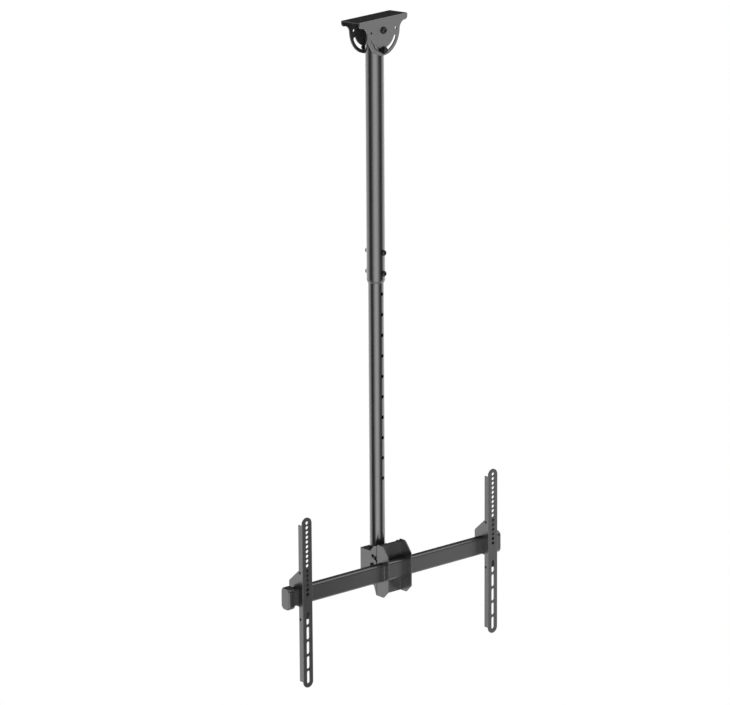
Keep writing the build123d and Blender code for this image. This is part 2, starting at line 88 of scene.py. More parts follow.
# %% [markdown]
# ## Camera
# A photograph of a long thin object is taken from far away with a long lens, so that the pole's two ends
# keep nearly the same scale. The camera could be placed by eye, but here its place was solved from points
# that can be told apart in the photograph: the bracket's corners, the pole's holes, the arms' ends. It
# stands to the left of the screen side, higher than the ceiling plate, and looks down a little.

# %% Camera
IMAGE_W = 730
FOCAL_PX = 4058.4
SENSOR_MM = 36.0
CAM_AZIMUTH = radians(41.24)
CAM_DISTANCE = 9.425
CAM_HEIGHT = 1.690
CAM_YAW = radians(41.0743)
CAM_PITCH = radians(14.898)
CAM_ROLL = radians(-0.379)
CLIP_END = 100.0

forward = Vector((sin(CAM_YAW) * cos(CAM_PITCH), cos(CAM_YAW) * cos(CAM_PITCH), -sin(CAM_PITCH)))
level = Vector((cos(CAM_YAW), -sin(CAM_YAW), 0.0))
right = Matrix.Rotation(-CAM_ROLL, 3, forward) @ level
above = right.cross(forward)
place = Vector((-sin(CAM_AZIMUTH) * CAM_DISTANCE, -cos(CAM_AZIMUTH) * CAM_DISTANCE, CAM_HEIGHT))
turn = Matrix((right, above, -forward)).transposed().to_4x4()

camera = bpy.data.objects.new("camera", bpy.data.cameras.new("camera"))
camera.data.sensor_width = SENSOR_MM
camera.data.lens = SENSOR_MM * FOCAL_PX / IMAGE_W
camera.data.clip_end = CLIP_END
camera.matrix_world = Matrix.Translation(place) @ turn
bpy.context.scene.collection.objects.link(camera)
bpy.context.scene.camera = camera
print("camera: lens %.1f mm, %.2f m away" % (camera.data.lens, CAM_DISTANCE))

# %% [markdown]
# ## Finishes
# Everything on this mount is black, so what tells its pieces apart is gloss. Each finish could be a flat
# colour, but then the pole and its bolts would melt into one. So there are three: a powder coat, a
# blackened steel and a moulded plastic. Each reads Object coordinates, so the grain stays the same size
# on every piece, and its scales are worked out from millimetres.

# %% Colour and node helpers
def hex_colour(text):
    """sRGB hex to the linear RGBA that shader sockets expect."""
    linear = []
    for i in (0, 2, 4):
        c = int(text[i:i + 2], 16) / 255
        linear.append(c / 12.92 if c <= 0.04045 else ((c + 0.055) / 1.055) ** 2.4)
    return (*linear, 1.0)


def per_mm(size):
    """Texture scale at which one feature measures about this many millimetres."""
    return 1.0 / (size * MM)


def add(tree, kind, feeds=(), **settings):
    """One node: settings name its properties or inputs, feeds pair an input with an output or a value."""
    node = tree.nodes.new(kind)
    for name, value in settings.items():
        if hasattr(node, name):
            setattr(node, name, value)
        else:
            node.inputs[name.replace("_", " ")].default_value = value
    for name, source in feeds:
        if isinstance(source, bpy.types.NodeSocket):
            tree.links.new(source, node.inputs[name])
        else:
            node.inputs[name].default_value = source
    return node


def new_material(name):
    """An empty node material, with its tree and the Object coordinates that its patterns read."""
    material = bpy.data.materials.new(name)
    material.use_nodes = True
    tree = material.node_tree
    tree.nodes.clear()
    return material, tree, add(tree, "ShaderNodeTexCoord").outputs["Object"]


# %% [markdown]
# ## Powder coat
# Sheets and tubes are sprayed with dry polyester powder and baked, which leaves a hard satin skin with
# the soft waves of orange peel. One glossy shader would do from afar, but such a skin shines twice: the
# pigment spreads the light widely, and the resin above it gives a tighter glint. So the shader has a coat
# layer of its own. Drawn tubes are smoother than pressed sheets, and get a lower roughness.

# %% Powder coat
PEEL_MM = 2.2
PEEL_DEPTH_MM = 0.2
PEEL_STRENGTH = 0.08
CLOUD_MM = 60.0
GLOSS_SPREAD = 0.05
RESIN_IOR = 1.6


def powder_coat(name, dark, light, roughness, coat_roughness):
    """Satin polyester powder coat: to the eye a dark skin with a soft gloss and faint waves."""
    material, tree, at = new_material(name)
    cloud = add(tree, "ShaderNodeTexNoise", [("Vector", at)], Scale=per_mm(CLOUD_MM), Detail=3.0)
    peel = add(tree, "ShaderNodeTexNoise", [("Vector", at)], Scale=per_mm(PEEL_MM), Detail=2.0)
    tint = add(tree, "ShaderNodeMix", [("Factor", cloud.outputs["Fac"])], data_type="RGBA",
               A=hex_colour(dark), B=hex_colour(light))
    gloss = add(tree, "ShaderNodeMapRange", [("Value", cloud.outputs["Fac"])],
                To_Min=roughness - GLOSS_SPREAD, To_Max=roughness + GLOSS_SPREAD)
    bump = add(tree, "ShaderNodeBump", [("Height", peel.outputs["Fac"])],
               Strength=PEEL_STRENGTH, Distance=PEEL_DEPTH_MM * MM)
    skin = add(tree, "ShaderNodeBsdfPrincipled",
               [("Base Color", tint.outputs["Result"]), ("Roughness", gloss.outputs["Result"]),
                ("Normal", bump.outputs["Normal"])],
               IOR=RESIN_IOR, Coat_Weight=1.0, Coat_Roughness=coat_roughness, Coat_IOR=RESIN_IOR)
    add(tree, "ShaderNodeOutputMaterial", [("Surface", skin.outputs["BSDF"])])
    return material


COAT_DARK, COAT_LIGHT = "202021", "28282a"
sheet_coat = powder_coat("powder_coat_on_sheet", COAT_DARK, COAT_LIGHT, roughness=0.40, coat_roughness=0.22)
tube_coat = powder_coat("powder_coat_on_tube", COAT_DARK, COAT_LIGHT, roughness=0.30, coat_roughness=0.18)
print("coats:", sheet_coat.name, "and", tube_coat.name)

# %% [markdown]
# ## Black oxide
# Bolts and nuts are blackened in a hot salt bath and then oiled. The bath turns the steel's own skin
# black, so unlike paint it still shines as a metal does. A dark plastic shader would lose its bright
# edges, so the shader is a metal with a dark tint, and one fine noise varies both the tint and the gloss.

# %% Black oxide steel
# The real grain is finer: this is the finest that shows in a close view
GRAIN_MM = 0.9
STEEL_DARK, STEEL_LIGHT = "28282a", "4a4a4e"
STEEL_ROUGHNESS = (0.34, 0.52)


def black_oxide(name):
    """Steel blackened in a bath and oiled: to the eye a dark metal with a slightly streaky sheen."""
    material, tree, at = new_material(name)
    grain = add(tree, "ShaderNodeTexNoise", [("Vector", at)], Scale=per_mm(GRAIN_MM), Detail=4.0)
    tint = add(tree, "ShaderNodeMix", [("Factor", grain.outputs["Fac"])], data_type="RGBA",
               A=hex_colour(STEEL_DARK), B=hex_colour(STEEL_LIGHT))
    gloss = add(tree, "ShaderNodeMapRange", [("Value", grain.outputs["Fac"])],
                To_Min=STEEL_ROUGHNESS[0], To_Max=STEEL_ROUGHNESS[1])
    steel = add(tree, "ShaderNodeBsdfPrincipled",
                [("Base Color", tint.outputs["Result"]), ("Roughness", gloss.outputs["Result"])],
                Metallic=1.0)
    add(tree, "ShaderNodeOutputMaterial", [("Surface", steel.outputs["BSDF"])])
    return material


bolt_steel = black_oxide("black_oxide_steel")
print("steel:", bolt_steel.name)

# %% [markdown]
# ## Moulded plastic
# The rail's caps and the pole's bushes come out of an injection mould whose walls were eroded by sparks,
# so they carry its fine even grain. A noise would give clouds, but sparks leave small round pits side by
# side, so the bump is drawn with Voronoi cells, and a coat layer gives the broad soft sheen.

# %% Moulded plastic
# The real pits are a few tenths of a millimetre: drawn coarser, so that they show in a close view
SPARK_MM = 0.8
SPARK_DEPTH_MM = 0.1
SPARK_STRENGTH = 0.15
PLASTIC_DARK, PLASTIC_LIGHT = "222223", "2a2a2c"
PLASTIC_ROUGHNESS = 0.42
PLASTIC_SHEEN = 0.28


def moulded_plastic(name):
    """Black polypropylene from a spark-eroded mould: to the eye an even fine grain and a soft sheen."""
    material, tree, at = new_material(name)
    spark = add(tree, "ShaderNodeTexVoronoi", [("Vector", at)], Scale=per_mm(SPARK_MM))
    cloud = add(tree, "ShaderNodeTexNoise", [("Vector", at)], Scale=per_mm(CLOUD_MM), Detail=2.0)
    tint = add(tree, "ShaderNodeMix", [("Factor", cloud.outputs["Fac"])], data_type="RGBA",
               A=hex_colour(PLASTIC_DARK), B=hex_colour(PLASTIC_LIGHT))
    bump = add(tree, "ShaderNodeBump", [("Height", spark.outputs["Distance"])],
               Strength=SPARK_STRENGTH, Distance=SPARK_DEPTH_MM * MM)
    plastic = add(tree, "ShaderNodeBsdfPrincipled",
                  [("Base Color", tint.outputs["Result"]), ("Normal", bump.outputs["Normal"])],
                  Roughness=PLASTIC_ROUGHNESS, IOR=RESIN_IOR, Coat_Weight=1.0,
                  Coat_Roughness=PLASTIC_SHEEN, Coat_IOR=RESIN_IOR)
    add(tree, "ShaderNodeOutputMaterial", [("Surface", plastic.outputs["BSDF"])])
    return material


cap_plastic = moulded_plastic("moulded_polypropylene")
finishes = {"black_coat": sheet_coat, "black_steel": bolt_steel, "black_plastic": cap_plastic}
print("finishes:", ", ".join(sorted(m.name for m in [*finishes.values(), tube_coat])))

# %% [markdown]
# ## Broken edges
# A solid from a drawing has razor edges, and no real sheet has those: shears and presses leave a small
# round, and the coat flows over it. A bevel shader would fake it in this renderer only. Here each packed
# solid is copied, its loose triangles are merged, flat neighbours are dissolved into one face, and every
# sharp edge gets a real bevel. Fasteners are left out, because the next steps make finer ones.

# %% Finished pieces and merged solids
MERGE_MM = 0.001
FLAT = radians(0.4)
SHARP = radians(32)
EDGE_R = 0.4


def piece_from(bm, name, body, material):
    """Turns a bmesh into a finished piece that rides on a body."""
    for face in bm.faces:
        face.smooth = True
    mesh = bpy.data.meshes.new(name)
    bm.to_mesh(mesh)
    bm.free()
    mesh.materials.append(material)
    piece = bpy.data.objects.new(name, mesh)
    bpy.context.scene.collection.objects.link(piece)
    piece.modifiers.new("even_normals", "WEIGHTED_NORMAL").keep_sharp = True
    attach(piece, body)
    return piece


def merged_solid(node):
    """The node's triangles as one closed shell with whole flat faces."""
    bm = bmesh.new()
    bm.from_mesh(nodes[node].data)
    bmesh.ops.remove_doubles(bm, verts=bm.verts, dist=MERGE_MM * MM)
    bmesh.ops.dissolve_limit(bm, angle_limit=FLAT, verts=bm.verts, edges=bm.edges)
    return bm


def break_edges(bm):
    """Gives every sharp edge a small round."""
    sharp = [e for e in bm.edges if e.is_manifold and e.calc_face_angle() > SHARP]
    bmesh.ops.bevel(bm, geom=sharp, offset=EDGE_R * MM, offset_type="OFFSET", affect="EDGES", segments=2,
                    profile=0.5, material=-1, clamp_overlap=True)


# %% Edge-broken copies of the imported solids
TUBES = {"outer_pole", "inner_pole"}
TURNED = {"pivot_bolt", "pivot_nut", "lock_bolt", "lock_nut", "height_bolts", "swivel_bolt",
          "tilt_bolt", "tilt_nut", "left_clamp_screw", "right_clamp_screw"}
slots = {s["node"]: s["material_slot"] for s in frame["record"]["subparts"]}
for node in sorted(set(nodes) - TURNED):
    shell = merged_solid(node)
    break_edges(shell)
    finish = tube_coat if node in TUBES else finishes[slots[node]]
    copy = piece_from(shell, node + "_finished", nodes[node]["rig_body"], finish)
    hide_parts(node)
print("edges broken on", len(nodes) - len(TURNED), "solids")

# %% [markdown]
# ## Bolts and nuts
# The drawing keeps its fasteners plain. Real ones are turned or pressed: a button head has a hexagon
# socket, a hex head and a nut lose their corners to a thirty degree chamfer, a lock nut carries a nylon
# collar, and what sticks out of a nut shows its thread. A lathe profile can't make a hexagon, so one
# function stacks rings along the bolt's axis: each is extruded from the last and set round or six-sided.
# A screw modifier leaves a thread's ends open, so a second function spins a small triangle up the shank
# and closes both ends.

# %% Stacked rings
RING = 48


def ring_edges(verts):
    """The edges of one ring, in the order of its vertices."""
    return list(dict.fromkeys(e for v in verts for e in v.link_edges))


def extrude_ring(bm, edges):
    """Extrudes a ring of edges and gives the new ring's vertices and edges."""
    made = bmesh.ops.extrude_edge_only(bm, edges=edges)["geom"]
    verts = [g for g in made if isinstance(g, bmesh.types.BMVert)]
    fresh = set(verts)
    return verts, [g for g in made if isinstance(g, bmesh.types.BMEdge) and fresh.issuperset(g.verts)]


def reach(kind, size, angle):
    """Distance from the axis to a ring's outline: round, or six-sided and measured across its flats."""
    return size if kind == "round" else size / cos(angle % (pi / 3) - pi / 6)


def set_ring(verts, kind, size, height, slope=0.0):
    """Moves a ring's vertices out to its outline; a chamfered ring drops towards its corners."""
    for vert in verts:
        angle = vert.co.to_2d().angle_signed(Vector((1.0, 0.0)), 0.0)
        out = reach(kind, size, angle)
        vert.co = Vector((cos(angle) * out, sin(angle) * out, height - slope * (out - size))) * MM


def stack(bm, rings, capped=True):
    """A skin through rings of (outline, half width, height along the axis, slope), in millimetres."""
    verts = bmesh.ops.create_circle(bm, segments=RING, radius=MM)["verts"]
    first = edges = ring_edges(verts)
    set_ring(verts, *rings[0])
    for ring in rings[1:]:
        verts, edges = extrude_ring(bm, edges)
        set_ring(verts, *ring)
    if capped:
        for end in (first, edges):
            bmesh.ops.contextual_create(bm, geom=end)
    else:
        bmesh.ops.bridge_loops(bm, edges=first + edges)


# %% Threads
# Depth and width of the ridge as shares of the pitch
THREAD_DEPTH = 0.61
RIDGE = 0.9
TURN_STEPS = 24


def thread(bm, radius, pitch, low, high):
    """A closed helical ridge on a shank, from one height to another along the axis."""
    root, crest = (radius - THREAD_DEPTH * pitch) * MM, radius * MM
    profile = [(root, low), (crest, low + RIDGE / 2 * pitch), (root, low + RIDGE * pitch)]
    start = bm.faces.new([bm.verts.new((out, 0.0, height * MM)) for out, height in profile])
    turns = (high - low) / pitch - 1.0
    steps = round(TURN_STEPS * turns)
    bmesh.ops.spin(bm, geom=[start, *start.edges, *start.verts], axis=(0.0, 0.0, 1.0), cent=(0.0, 0.0, 0.0),
                   dvec=(0.0, 0.0, pitch * turns / steps * MM), angle=2 * pi * turns, steps=steps,
                   use_duplicate=False)
    bmesh.ops.holes_fill(bm, edges=[e for e in bm.edges if e.is_boundary], sides=3)


# %% Fasteners on their axes
def along_axis(origin, axis):
    """Turns a piece modelled up the Z axis on to a bolt's axis."""
    return Matrix.Translation(origin) @ Vector(axis).to_track_quat("Z", "Y").to_matrix().to_4x4()


def span(node, matrix):
    """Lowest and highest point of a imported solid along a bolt's axis, in millimetres."""
    back = matrix.inverted()
    heights = [(back @ v.co).z / MM for v in nodes[node].data.vertices]
    return min(heights), max(heights)


def stand_for(bm, node, matrix):
    """Puts a finished fastener in its place instead of the plain solid."""
    bmesh.ops.transform(bm, matrix=matrix, verts=bm.verts)
    bmesh.ops.recalc_face_normals(bm, faces=bm.faces)
    piece = piece_from(bm, node + "_finished", nodes[node]["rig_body"], finishes[slots[node]])
    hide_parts(node)


def join_into(whole, one):
    """Adds a small bmesh to a larger one and frees it."""
    mesh = bpy.data.meshes.new("joined")
    one.to_mesh(mesh)
    one.free()
    whole.from_mesh(mesh)
    bpy.data.meshes.remove(mesh)


# %% Heads
# A dome's rings as shares of the head's radius and height, from its crown to its rim
DOME = [(0.62, 0.04), (0.82, 0.18), (0.95, 0.42), (1.0, 0.7)]
# Depths in a socket as shares of the head's height: drill point, drill shoulder and floor
DRILL_POINT, DRILL_SHOULDER, SOCKET_FLOOR = 0.62, 0.58, 0.5
SOCKET_LEAD = 0.25
BURR = 0.2
# Slope of a thirty degree chamfer
CHAMFER = 0.577
DISH_DEPTH = 0.6
WASHER_FACE = 0.4
STEP = 0.1


def button_head(radius, height, seat, socket):
    """Rings of a domed head below its seat, from the socket's floor out to the seat."""
    top = seat - height
    return [("round", 0.4, top + DRILL_POINT * height),
            ("hex", 0.6 * socket, top + DRILL_SHOULDER * height),
            ("hex", socket, top + SOCKET_FLOOR * height), ("hex", socket, top + SOCKET_LEAD),
            ("round", 1.22 * socket, top),
            *(("round", out * radius, top + down * height) for out, down in DOME),
            ("round", radius, seat - BURR), ("round", radius - BURR, seat)]


def hex_head(flat, height, seat):
    """Rings of a pressed hexagon head below its seat, dished on top and chamfered at its corners."""
    top = seat - height
    return [("round", 0.3, top + DISH_DEPTH + STEP), ("round", 0.45 * flat, top + DISH_DEPTH),
            ("round", 0.55 * flat, top), ("round", 0.93 * flat, top),
            ("hex", 0.97 * flat, top + 0.02 * flat, -CHAMFER), ("hex", flat, top + 0.05 * flat, -CHAMFER),
            ("hex", flat, seat - WASHER_FACE - STEP), ("round", 0.95 * flat, seat - WASHER_FACE),
            ("round", 0.95 * flat, seat)]


# %% Shanks and lock nuts
TIP = 0.8
# Share of a lock nut's height that is its nylon collar, and the round land of its faces across its flats
COLLAR = 0.3
LAND = 0.94
BORE_CHAMFER = 0.6


def shank(radius, seat, end):
    """Rings of a plain shank from its head's seat to its chamfered tip."""
    return [("round", radius, seat), ("round", radius, end - TIP), ("round", radius - TIP, end)]


def lock_nut(flat, bore, low, high):
    """Rings of a nut whose upper third is a nylon collar, closed through its bore."""
    collar = high - COLLAR * (high - low)
    return [("round", bore, low), ("round", LAND * flat, low),
            ("hex", flat, low + (1 - LAND) * flat, -CHAMFER), ("hex", flat, collar, CHAMFER),
            ("round", LAND * flat, collar + 0.05 * flat), ("round", 0.9 * flat, high - 0.5),
            ("round", 0.86 * flat, high - 0.1), ("round", 0.8 * flat, high),
            ("round", bore + BORE_CHAMFER, high), ("round", bore, high - BORE_CHAMFER)]


# %% [markdown]
# ## Ceiling hinge
# The pole hangs on a pivot bolt, and a lock bolt below it runs in the ears' arc slots and holds the
# pole's angle. Their places could be typed in, but a drawing changes, so they are measured: the axis
# comes from the joint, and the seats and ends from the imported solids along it.

# %% Pivot bolt, lock bolt and their nuts
M10, M8, M6 = 5.0, 4.0, 3.0
PITCH = {M10: 1.5, M8: 1.25, M6: 1.0}
NUT_FLAT = {M10: 8.0, M8: 6.5, M6: 5.0}
NUT_PLAY = 0.05
THREAD_HIDDEN = 2.0
PIVOT_HEAD_R = 8.5
PIVOT_SOCKET = 3.0
joints = {j["name"]: j for j in frame["record"]["behaviour"]["joints"]}
hinge_axis = Vector(joints["ceiling_hinge"]["axis"])
hinge = along_axis(Vector(joints["ceiling_hinge"]["pos_m"]), hinge_axis)


def through_bolt(node, nut, matrix, seat, head, radius):
    """A bolt with a given head and its lock nut, threaded from inside the nut to its tip."""
    end = span(node, matrix)[1]
    low, high = span(nut, matrix)
    bm = bmesh.new()
    stack(bm, [*head, *shank(radius, seat, end)])
    thread(bm, radius, PITCH[radius], high - THREAD_HIDDEN, end - BURR)
    stand_for(bm, node, matrix)
    bm = bmesh.new()
    stack(bm, lock_nut(NUT_FLAT[radius], radius + NUT_PLAY, low, high), capped=False)
    stand_for(bm, nut, matrix)


ear_face = span("ceiling_bracket", hinge)[0]
pivot_height = ear_face - span("pivot_bolt", hinge)[0]
pivot_head = button_head(PIVOT_HEAD_R, pivot_height, ear_face, PIVOT_SOCKET)
through_bolt("pivot_bolt", "pivot_nut", hinge, ear_face, pivot_head, M10)

lock_low, lock_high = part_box("lock_bolt")
lock = along_axis(Vector((0.0, 0.0, (lock_low.z + lock_high.z) / 2)), hinge_axis)
washer_face = span("lock_washers", lock)[0]
lock_height = washer_face - span("lock_bolt", lock)[0]
lock_head = hex_head(NUT_FLAT[M8], lock_height, washer_face)
through_bolt("lock_bolt", "lock_nut", lock, washer_face, lock_head, M8)
print("ceiling hinge: bolt heads %.1f and %.1f mm high" % (pivot_height, lock_height))

# %% [markdown]
# ## Height bolts
# Two pairs of button-head screws at the pole's lower end clamp the inner pole at its height, one pair
# from the front and one from the back. One screw could be copied four times as linked objects, but they
# move as one piece, so all four go into one mesh.

# %% Height bolts, front and back of the pole's lower end
HEIGHT_HEAD_R = 7.0
HEIGHT_SOCKET = 2.5
HEIGHT_SHANK = 3.2
bolt_low, bolt_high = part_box("height_bolts")
pole_low, pole_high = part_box("outer_pole")
pole_face = -(pole_high.x - pole_low.x) / 2 / MM
bm = bmesh.new()
for z in (bolt_low.z + HEIGHT_HEAD_R * MM, bolt_high.z - HEIGHT_HEAD_R * MM):
    for axis in (hinge_axis, -hinge_axis):
        matrix = along_axis(Vector((0.0, 0.0, z)), axis)
        height = pole_face - span("height_bolts", matrix)[0]
        one = bmesh.new()
        stack(one, [*button_head(HEIGHT_HEAD_R, height, pole_face, HEIGHT_SOCKET),
                    *shank(M8, pole_face, pole_face + HEIGHT_SHANK)])
        bmesh.ops.transform(one, matrix=matrix, verts=one.verts)
        join_into(bm, one)
stand_for(bm, "height_bolts", Matrix.Identity(4))
print("height bolts: heads %.1f mm proud" % height)

# %% [markdown]
# ## Bolts of the head
# The head tilts on a long button-head bolt with a lock nut, and swivels on a hexagon bolt that goes up
# into the pole's foot. The swivel bolt ends inside the foot and shows no thread, so a plain shank is
# enough for it.

# %% Tilt bolt, its nut and the swivel bolt
TILT_HEAD_R = 5.25
TILT_HEAD_H = 3.3
TILT_SOCKET = 2.0
SWIVEL_FLAT = 8.5
tilt = along_axis(Vector(joints["head_tilt"]["pos_m"]), joints["head_tilt"]["axis"])
tilt_seat = span("tilt_bolt", tilt)[0] + TILT_HEAD_H
tilt_button = button_head(TILT_HEAD_R, TILT_HEAD_H, tilt_seat, TILT_SOCKET)
through_bolt("tilt_bolt", "tilt_nut", tilt, tilt_seat, tilt_button, M6)

swivel = along_axis(Vector((0.0, 0.0, 0.0)), (0.0, 0.0, 1.0))
swivel_top, swivel_end = span("swivel_bolt", swivel)
swivel_seat = span("swivel_washer", swivel)[0]
bm = bmesh.new()
stack(bm, [*hex_head(SWIVEL_FLAT, swivel_seat - swivel_top, swivel_seat),
           *shank(M10, swivel_seat, swivel_end)])
stand_for(bm, "swivel_bolt", swivel)
print("head: swivel bolt seat at %.1f mm" % swivel_seat)

# %% [markdown]
# ## Clamp screws
# Each arm is pinched on the rail by a thumb screw behind it. Its head is knurled so that fingers can turn
# it. A knurl could be a bump map, but it shows in outline too, so every second vertex of the rim is drawn
# in.

# %% Knurled clamp screws
CLAMP_R = 8.0
CLAMP_HEAD = 8.0
CLAMP_DISH = 0.9
CLAMP_BEVEL = 1.4
KNURL_DEPTH = 0.7
KNURL_SHARE = 1.0 - KNURL_DEPTH / CLAMP_R
RIM_SLACK = 0.1


def clamp_screw(node):
    """A thumb screw with a dished, knurled head and a thread down to its tip; gives its length."""
    low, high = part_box(node)
    matrix = along_axis((low + high) / 2, (0.0, -1.0, 0.0))
    top, end = span(node, matrix)
    seat = top + CLAMP_HEAD
    bm = bmesh.new()
    stack(bm, [("round", 0.5, top + CLAMP_DISH), ("round", 0.5 * CLAMP_R, top + CLAMP_DISH),
               ("round", 0.6 * CLAMP_R, top), ("round", CLAMP_R - CLAMP_BEVEL - BURR, top),
               ("round", CLAMP_R, top + CLAMP_BEVEL), ("round", CLAMP_R, seat - CLAMP_BEVEL),
               ("round", CLAMP_R - CLAMP_BEVEL + BURR, seat), *shank(M6, seat, end)])
    rim = [v for v in bm.verts if v.co.to_2d().length > (CLAMP_R - RIM_SLACK) * MM]
    rim.sort(key=lambda v: (round(v.co.z / MM, 2), v.co.to_2d().angle_signed(Vector((1.0, 0.0)))))
    bmesh.ops.scale(bm, vec=(KNURL_SHARE, KNURL_SHARE, 1.0), verts=rim[::2])
    thread(bm, M6, PITCH[M6], seat - BURR, end - BURR - STEP)
    stand_for(bm, node, matrix)
    return end - top


for node in ("left_clamp_screw", "right_clamp_screw"):
    print(node, "%.1f mm long" % clamp_screw(node))

# %% [markdown]
# ## Weld beads
# The rail runs through windows in the head's side plates and is welded there. A bead is a small round of
# steel laid along the joint. A bent curve with thickness would do, but here a circle is pushed along each
# straight run and spun round each corner, which keeps the bead closed and its sections square to the
# path.

# %% Beads where the rail meets the side plates
BEAD_R = 1.1
BEAD_SIDES = 10
BEAD_MERGE_MM = 0.01
RAIL_CORNER = 6.0
CORNER_STEPS = 6
rail_low, rail_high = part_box("rail")
plate_low, plate_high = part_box("rail_bracket")


def rail_bead(bm, x):
    """One bead round the rail, in the plane of a side plate's outer face."""
    corner = RAIL_CORNER * MM
    run_y = rail_high.y - rail_low.y - 2 * corner
    run_z = rail_high.z - rail_low.z - 2 * corner
    at = Vector((x, rail_low.y + corner, rail_high.z))
    heading = Vector((0.0, 1.0, 0.0))
    circle = bmesh.ops.create_circle(bm, segments=BEAD_SIDES, radius=BEAD_R * MM,
                                     matrix=Matrix.Translation(at) @ Matrix.Rotation(pi / 2, 4, "X"))
    edges = ring_edges(circle["verts"])
    for run in (run_y, run_z, run_y, run_z):
        verts, edges = extrude_ring(bm, edges)
        bmesh.ops.translate(bm, vec=heading * run, verts=verts)
        at = at + heading * run
        side = Vector((0.0, heading.z, -heading.y))
        last = bmesh.ops.spin(bm, geom=[*verts, *edges], cent=at + side * corner, axis=(1.0, 0.0, 0.0),
                              angle=-pi / 2, steps=CORNER_STEPS, use_duplicate=False)["geom_last"]
        edges = [g for g in last if isinstance(g, bmesh.types.BMEdge)]
        at = at + (heading + side) * corner
        heading = side
    bmesh.ops.remove_doubles(bm, verts=bm.verts, dist=BEAD_MERGE_MM * MM)


bm = bmesh.new()
for x in (plate_low.x, plate_high.x):
    rail_bead(bm, x)
bmesh.ops.recalc_face_normals(bm, faces=bm.faces)
loose = sum(e.is_boundary for e in bm.edges)
piece_from(bm, "rail_weld_beads", "tilt_head", sheet_coat)
print("weld beads:", loose, "open edges")

# %% [markdown]
# ## Rivets
# Two rivets on each arm pin the lip of the hook to the flange. A rivet's head is a shallow dome that a
# die has formed, with a small flat on top. It is stacked from rings as the bolts are, and its tail stays
# in the sheet.

# %% Rivets on the arms' flanges
RIVET_R = 3.2
RIVET_H = 1.5
RIVET_TAIL = 1.0
RIVET_BACK = 10.5
RIVET_DROPS = (136.5, 252.5)
RIVET = [("round", 0.3, -RIVET_H), ("round", 0.35 * RIVET_R, -RIVET_H),
         ("round", 0.75 * RIVET_R, -0.75 * RIVET_H), ("round", RIVET_R, -0.2 * RIVET_H),
         ("round", RIVET_R, 0.0), ("round", 0.6 * RIVET_R, RIVET_TAIL)]
for arm in ("left_arm", "right_arm"):
    low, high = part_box(arm)
    bm = bmesh.new()
    for drop in RIVET_DROPS:
        one = bmesh.new()
        stack(one, RIVET)
        spot = Vector((low.x, low.y + RIVET_BACK * MM, high.z - drop * MM))
        bmesh.ops.transform(one, matrix=along_axis(spot, (1.0, 0.0, 0.0)), verts=one.verts)
        bmesh.ops.recalc_face_normals(one, faces=one.faces)
        join_into(bm, one)
    piece_from(bm, arm + "_rivets", arm, bolt_steel)
print("rivets:", len(RIVET_DROPS), "on each arm")

# %% [markdown]
# ## Studio
# The photograph has a plain white ground and no shadow in view. Its flat faces are grey because they
# mirror a white sweep behind and below, the pole's bright stripe is a broad light by the camera, and the
# sides and the room above are dark, which is why the top of the bracket reads black. Panels could be
# built and moved until the reflections fit. Here the levels are drawn in the world, by direction, in two
# short lists. Camera rays see plain white, and mirror rays see the drawn sweep, which is as white as that
# ground behind the object.

# %% Direction round the pole
STRIPE_TURN = radians(4.0)
sky = bpy.data.worlds.new("studio")
sky.use_nodes = True
bpy.context.scene.world = sky
air = sky.node_tree
air.nodes.clear()
direction = add(air, "ShaderNodeTexCoord").outputs["Generated"]
faced = add(air, "ShaderNodeVectorRotate", [("Vector", direction)], rotation_type="Z_AXIS",
            Angle=CAM_AZIMUTH - STRIPE_TURN)
along = add(air, "ShaderNodeSeparateXYZ", [("Vector", faced.outputs["Vector"])])
# Turn round the pole, from 0 at the light by the camera to 1 straight behind, alike on both sides
aside = add(air, "ShaderNodeMath", [(0, along.outputs["X"])], operation="ABSOLUTE")
nearer = add(air, "ShaderNodeMath", [(0, along.outputs["Y"]), (1, -1.0)], operation="MULTIPLY")
around = add(air, "ShaderNodeMath", [(0, aside.outputs[0]), (1, nearer.outputs[0])], operation="ARCTAN2")
half_turns = add(air, "ShaderNodeMath", [(0, around.outputs[0]), (1, pi)], operation="DIVIDE")
# Rise, from 0 straight down to 1 straight up
rise = add(air, "ShaderNodeMapRange", [("Value", along.outputs["Z"])], From_Min=-1.0)
print("studio: the stripe's light is turned %.1f degrees from the camera" % (STRIPE_TURN / radians(1.0)))

# %% Levels of the sweep
# Degrees round the pole from the light by the camera, and the level there
SWEEP = [(0, 1.0), (14, 0.95), (28, 0.60), (44, 0.12), (58, 0.01), (74, 0.01),
         (82, 0.05), (89, 0.28), (96, 0.52), (110, 0.52), (130, 0.42), (180, 0.50)]
SWEEP_TOP = 3.0
# Height of the direction on a unit sphere, and the share of the level that is left there
LAYERS = [(-0.17, 1.0), (-0.02, 0.004), (0.24, 0.004), (0.34, 0.08), (1.0, 0.10)]


def fill_ramp(node, stops):
    """Gives a colour ramp its grey stops, as pairs of position and level."""
    elements = node.color_ramp.elements
    while len(elements) < len(stops):
        elements.new(0.5)
    for element, (position, grey) in zip(elements, stops):
        element.position = position
        element.color = (grey, grey, grey, 1.0)


sweep = add(air, "ShaderNodeValToRGB", [("Fac", half_turns.outputs[0])])
fill_ramp(sweep, [(degrees / 180, grey) for degrees, grey in SWEEP])
layer = add(air, "ShaderNodeValToRGB", [("Fac", rise.outputs["Result"])])
fill_ramp(layer, [((z + 1) / 2, grey) for z, grey in LAYERS])
strength = add(air, "ShaderNodeMath", [(0, layer.outputs["Color"]), (1, SWEEP_TOP)], operation="MULTIPLY")
print("sweep: %d levels round the pole, %d from floor to ceiling" % (len(SWEEP), len(LAYERS)))

# %% World
WHITE = (1.0, 1.0, 1.0, 1.0)
studio = add(air, "ShaderNodeBackground",
             [("Color", sweep.outputs["Color"]), ("Strength", strength.outputs[0])])
ground = add(air, "ShaderNodeBackground", Color=WHITE, Strength=1.0)
